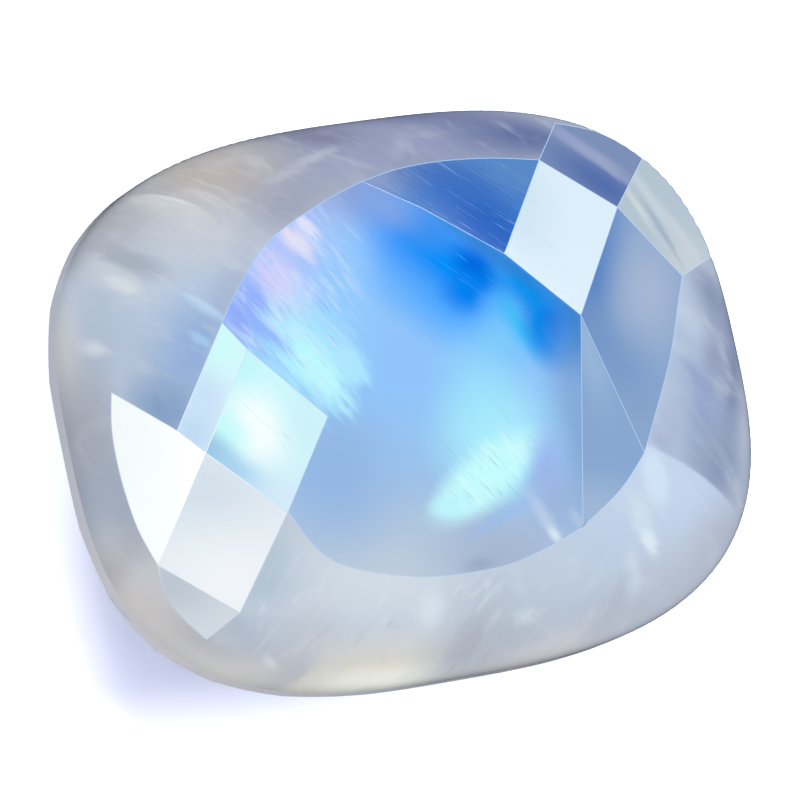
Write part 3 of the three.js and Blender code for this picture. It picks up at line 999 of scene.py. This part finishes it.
        Mark((-5.85, 4.4), (3, 3.25), 10, "#c5c8c4", 0.35, 0.6, grain="veils", wisp=0.1),
        # veils in the north
        Mark((0.4, 5.9), (3.5, 1.25), -8, "#969aa7", 0.5, 0.6, grain="veils", wisp=0.1),
        # veils in the south
        Mark((-1.75, -6.1), (7, 1.8), -8, "#dbdfd6", 0.45, 0.6, grain="cross_veils", wisp=0.1),
        # dark veils in the south
        Mark((-1.2, -6.45), (6.45, 1.8), -8, "#a1a7ad", 0.4, 0.8, grain="dark_veils", wisp=0.1),
        # veils in the east
        Mark((6.45, -2.15), (1.6, 4.05), -8, "#bec8d1", 0.1, 0.6, grain="veils", wisp=0.1),
    ]),
    "edge": ("#b4c4d1", [
        Mark((-7, -1.9), (1.8, 3.15), -28, "#eff5ee", 1, 0.8),  # white in the west: painted highlight on the worn facet edges
        Mark((-7.5, -4.05), (1.2, 0.65), 19, "#cfd7d5", 1, 0.8),  # grey in the south-west
        Mark((0.65, 2.15), (4.55, 3.55), -8, "#84b6e6", 0.9),  # blue in the middle
    ]),
    "girdle": ("#bdc2c2", [
        Mark((6.45, -3.4), (3.75, 7.6), -8, "#b7c7d2"),  # pale blue in the east
        Mark((1.45, 6.35), (7, 1.8), -8, "#9da3b4"),  # lavender in the north
        Mark((-9.5, -1.15), (1.65, 3.25), -1, "#cececb", 0.9),  # a pale west, painted light on the shaded girdle wall
        Mark((-1.75, -7.1), (5.95, 1), -3, "#fffffb"),  # a pale south, painted light on the shaded girdle wall
        Mark((2.9, -6.95), (3.9, 1.05), -30, "#fffffd"),  # a pale south-east, painted light on the shaded girdle wall
        Mark((-8, -5.1), (3.3, 2.15), -42, "#eae6db", 0.9),  # a warm pale south-west, painted light on the shaded girdle wall
        Mark((-1.35, -0.35), (13.45, 12.7), -8, "#dde2de", 0.5, 0.2, grain="clouds"),  # clouds
        Mark((-1.35, -0.35), (13.45, 12.7), -8, "#acb2b8", 0.25, 0.2, grain="clouds"),  # darker veils
    ]),
    "pavilion": ("#b9c4d0", [
        Mark((-1.35, -0.35), (5.4, 4.55), -8, "#7ea7de", 0.8),  # a blue middle
        Mark((-1.35, -0.35), (13.45, 12.7), -8, "#e0e5e6", 0.6, 0.2, grain="clouds"),  # clouds
        Mark((-1.35, -0.35), (13.45, 12.7), -8, "#d2dbe2", 0.25, 0.2, grain="layers"),  # streaks
    ]),
}


def mixed(tree, share, below, above):
    """Colour above laid over colour below where share is 1."""
    node = tree.nodes.new("ShaderNodeMix")
    node.data_type = "RGBA"
    sockets = [socket for socket in node.inputs if socket.enabled]
    for socket, value in zip(sockets, (share, below, above)):
        if isinstance(value, bpy.types.NodeSocket):
            tree.links.new(value, socket)
        else:
            socket.default_value = value
    return next(socket for socket in node.outputs if socket.enabled)


def stone_color(tree, groups, finish, layer_turn):
    """The colour of one facet or of the dome: its body colour with its marks laid over it."""
    base, marks = finish
    coordinates = add_node(tree, "ShaderNodeTexCoord")
    place = scaled(tree, coordinates.outputs["Object"], 1 / MM)
    plan = calc_vector(tree, "MULTIPLY", place, (1, 1, 0))
    height = add_node(tree, "ShaderNodeSeparateXYZ", {0: place}).outputs["Z"]
    above_wall = ramp(tree, height, WALL_FOOT, WALL_TOP)
    grain_masks = {}
    color = paint(base)
    for mark in marks:
        share = add_group(tree, groups["soft_oval"], {
            "Vector": plan,
            "Centre": (*mark.at, 0),
            "Size": (*mark.size, 1),
            "Turn": radians(mark.turn),
            "Softness": mark.soft,
            "Amount": mark.amount,
            "Pull": mark.wisp,
            "Fade": mark.fade,
            "Layers": radians(layer_turn),
        })
        if mark.grain:
            if mark.grain not in grain_masks:
                grain = GRAINS[mark.grain]
                grain_masks[mark.grain] = add_group(tree, groups["streaks"], {
                    "Vector": place,
                    "Turn": radians(grain.turn),
                    "Length": grain.length,
                    "Width": grain.width,
                    "Cover": grain.cover,
                    "Sharpness": grain.sharp,
                })
            share = calc(tree, "MULTIPLY", share, grain_masks[mark.grain])
        if mark.wisp:
            share = calc(tree, "MULTIPLY", share, above_wall)
        color = mixed(tree, share, color, paint(mark.color))
    return color


def stone_material(name, groups, settings):
    layer_turn = DOME_LAYER_TURN if name == "dome" else FACET_LAYER_TURN
    material = bpy.data.materials.new("moonstone_" + name)
    material.use_nodes = True
    tree = material.node_tree
    shader = tree.nodes["Principled BSDF"]
    color = stone_color(tree, groups, FINISHES[name], layer_turn)
    lit = [share * settings.lightness for share in settings.tint]
    tree.links.new(calc_vector(tree, "MULTIPLY", color, lit), shader.inputs["Base Color"])
    shader.inputs["Roughness"].default_value = settings.roughness
    shader.inputs["IOR"].default_value = STONE_IOR
    return material


# ---------- settings ----------
def color_setting(name, description, default):
    """A colour that a user may change."""
    return bpy.props.FloatVectorProperty(
        name=name, description=description, default=default, subtype="COLOR", size=3, min=0, max=1
    )


class MoonstoneSettings(bpy.types.PropertyGroup):
    """What a user may change about the stone."""

    edge_width: bpy.props.FloatProperty(
        name="Edge width",
        description="How far the worn line of a facet edge runs to either side",
        default=0.009 * MM,
        min=0.005 * MM,
        max=0.1 * MM,
        precision=6,
        unit="LENGTH",
    )
    roughness: bpy.props.FloatProperty(
        name="Polish roughness",
        description="How dull the polish is",
        default=0.06,
        min=0.0,
        max=1.0,
        subtype="FACTOR",
    )
    lightness: bpy.props.FloatProperty(
        name="Body lightness",
        description="How much light the milky body sends back",
        default=0.62,
        min=0.0,
        max=1.0,
        subtype="FACTOR",
    )
    tint: color_setting("Tint", "A colour laid over the whole stone", (1, 1, 1))


class StageSettings(bpy.types.PropertyGroup):
    """What a user may change about the studio."""

    floor_color: color_setting(
        "Floor colour", "The pale floor the stone rests on", (0.92, 0.92, 0.93)
    )
    sky_color: color_setting("Sky colour", "The even light from all round", (0.78, 0.80, 1.0))
    sky_strength: bpy.props.FloatProperty(
        name="Sky strength",
        description="How strong the light from all round is",
        default=1.3,
        min=0.0,
    )
    key_brightness: bpy.props.FloatProperty(
        name="Key brightness",
        description="How bright the two key lights are",
        default=43.0,
        min=0.0,
    )


# ---------- the studio ----------
# Sizes and distances are in metres. A key light's turn is in degrees from the long axis.
FLOOR_HALF = 2.0
CARD_DISTANCE = 0.6
KEY_SIZE = 0.15
KEY_ELEVATION = 36.0
KEY_TURNS = {"key_north": 104.0, "key_east": -9.0}

# The facets that mirror a white card, with the card's size.
MIRRORED_CARDS = {"end_west": 0.05, "north_east": 0.03}
MIRRORED_BRIGHTNESS = 10.0


# ---------- operators ----------
class MOONSTONE_OT_stone(bpy.types.Operator):
    """Builds the polished moonstone in place of its plain solid"""

    bl_idname = "moonstone.stone"
    bl_label = "Moonstone"
    bl_options = {"REGISTER", "UNDO"}

    def execute(self, context):
        settings = context.scene.moonstone
        mesh = stone_mesh(settings.edge_width / MM)
        groups = {
            "soft_oval": build_oval_group(),
            "streaks": build_streak_group(),
        }
        for name in (*FACETS, "dome", "edge", "girdle", "pavilion"):
            mesh.materials.append(stone_material(name, groups, settings))
        set_polish(mesh)
        stone = bpy.data.objects.new(STONE_NAME, mesh)
        context.scene.collection.objects.link(stone)
        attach(stone, "root")
        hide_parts(CAD_NODE)
        return {"FINISHED"}


def view_axes():
    """The camera's right, up and back directions."""
    azimuth = radians(VIEW_AZIMUTH)
    elevation = radians(VIEW_ELEVATION)
    roll = radians(VIEW_ROLL)
    back = Vector((sin(azimuth) * cos(elevation), -cos(azimuth) * cos(elevation), sin(elevation)))
    level = Vector((0, 0, 1)).cross(back).normalized()
    upright = back.cross(level)
    right = cos(roll) * level + sin(roll) * upright
    up = cos(roll) * upright - sin(roll) * level
    return right, up, back


def add_camera(context):
    right, up, back = view_axes()
    per_pixel = VIEW_DISTANCE / FOCAL_PIXELS
    spot = Vector((0, 0, GIRDLE_TOP)) + back * VIEW_DISTANCE
    spot -= right * (CENTRE_PIXEL[0] - IMAGE_SIZE / 2) * per_pixel
    spot -= up * (IMAGE_SIZE / 2 - CENTRE_PIXEL[1]) * per_pixel
    lens = bpy.data.cameras.new("camera")
    lens.sensor_width = SENSOR_WIDTH
    lens.lens = FOCAL_PIXELS / IMAGE_SIZE * SENSOR_WIDTH
    lens.clip_start = NEAREST_SEEN
    lens.clip_end = FARTHEST_SEEN
    camera = bpy.data.objects.new("camera", lens)
    turn = Matrix((right, up, back)).transposed().to_4x4()
    camera.matrix_world = Matrix.Translation(spot * MM) @ turn
    context.scene.collection.objects.link(camera)
    context.scene.camera = camera


def add_card(context, name, direction, size, brightness, mirrored):
    """A flat light that faces the stone. A mirrored one shows in the polish and lights nothing."""
    light = bpy.data.lights.new(name, "AREA")
    light.shape = "SQUARE"
    light.size = size
    light.energy = brightness * pi * size * size
    card = bpy.data.objects.new(name, light)
    aim = direction.normalized()
    card.location = aim * CARD_DISTANCE + Vector((0, 0, GIRDLE_TOP * MM))
    card.rotation_euler = aim.to_track_quat("Z", "Y").to_euler()
    card.visible_diffuse = not mirrored
    card.visible_glossy = mirrored
    card.visible_transmission = not mirrored
    context.scene.collection.objects.link(card)


def mirrored_view(normal):
    """Where a facet with this normal sends the camera's look."""
    _, _, back = view_axes()
    return 2 * normal.dot(back) * normal - back


def add_floor(context, color):
    mesh = bpy.data.meshes.new("floor")
    sides = ((-1, -1), (1, -1), (1, 1), (-1, 1))
    corners = [(x * FLOOR_HALF, y * FLOOR_HALF, 0) for x, y in sides]
    mesh.from_pydata(corners, [], [(0, 1, 2, 3)])
    floor = bpy.data.objects.new("floor", mesh)
    material = bpy.data.materials.new("pale_floor")
    material.use_nodes = True
    shader = material.node_tree.nodes["Principled BSDF"]
    shader.inputs["Base Color"].default_value = (*color, 1)
    shader.inputs["Roughness"].default_value = 1.0
    shader.inputs["Specular IOR Level"].default_value = 0.0
    mesh.materials.append(material)
    floor.visible_glossy = False
    context.scene.collection.objects.link(floor)


def add_sky(context, settings):
    world = bpy.data.worlds.new("studio")
    world.use_nodes = True
    background = world.node_tree.nodes["Background"]
    background.inputs["Color"].default_value = (*settings.sky_color, 1)
    background.inputs["Strength"].default_value = settings.sky_strength
    world.cycles_visibility.glossy = False
    context.scene.world = world


class MOONSTONE_OT_stage(bpy.types.Operator):
    """Sets the floor, the soft studio light and the camera"""

    bl_idname = "moonstone.stage"
    bl_label = "Studio"
    bl_options = {"REGISTER", "UNDO"}

    def execute(self, context):
        settings = context.scene.moonstone_stage
        add_camera(context)
        add_floor(context, settings.floor_color)
        add_sky(context, settings)
        for name, turn in KEY_TURNS.items():
            way = Vector((cos(radians(turn)), sin(radians(turn)), tan(radians(KEY_ELEVATION))))
            add_card(context, name, way, KEY_SIZE, settings.key_brightness, False)
        for facet, size in MIRRORED_CARDS.items():
            way = mirrored_view(facet_normal(facet))
            add_card(context, facet + "_card", way, size, MIRRORED_BRIGHTNESS, True)
        context.scene.view_settings.view_transform = "Standard"
        return {"FINISHED"}


# ---------- panel ----------
class MOONSTONE_PT_panel(bpy.types.Panel):
    """Shows the stone's and the studio's settings, with a button for each"""

    bl_idname = "MOONSTONE_PT_panel"
    bl_label = "Moonstone"
    bl_space_type = "VIEW_3D"
    bl_region_type = "UI"
    bl_category = "Moonstone"

    def draw(self, context):
        layout = self.layout
        for name in ("edge_width", "roughness", "lightness", "tint"):
            layout.prop(context.scene.moonstone, name)
        layout.operator(MOONSTONE_OT_stone.bl_idname)
        for name in ("floor_color", "sky_color", "sky_strength", "key_brightness"):
            layout.prop(context.scene.moonstone_stage, name)
        layout.operator(MOONSTONE_OT_stage.bl_idname)


CLASSES = (
    MoonstoneSettings,
    StageSettings,
    MOONSTONE_OT_stone,
    MOONSTONE_OT_stage,
    MOONSTONE_PT_panel,
)


def register():
    for cls in CLASSES:
        bpy.utils.register_class(cls)
    bpy.types.Scene.moonstone = bpy.props.PointerProperty(type=MoonstoneSettings)
    bpy.types.Scene.moonstone_stage = bpy.props.PointerProperty(type=StageSettings)


def unregister():
    del bpy.types.Scene.moonstone_stage
    del bpy.types.Scene.moonstone
    for cls in reversed(CLASSES):
        bpy.utils.unregister_class(cls)


def main():
    register()
    bpy.ops.moonstone.stone()
    bpy.ops.moonstone.stage()


if __name__ == "__main__":
    main()
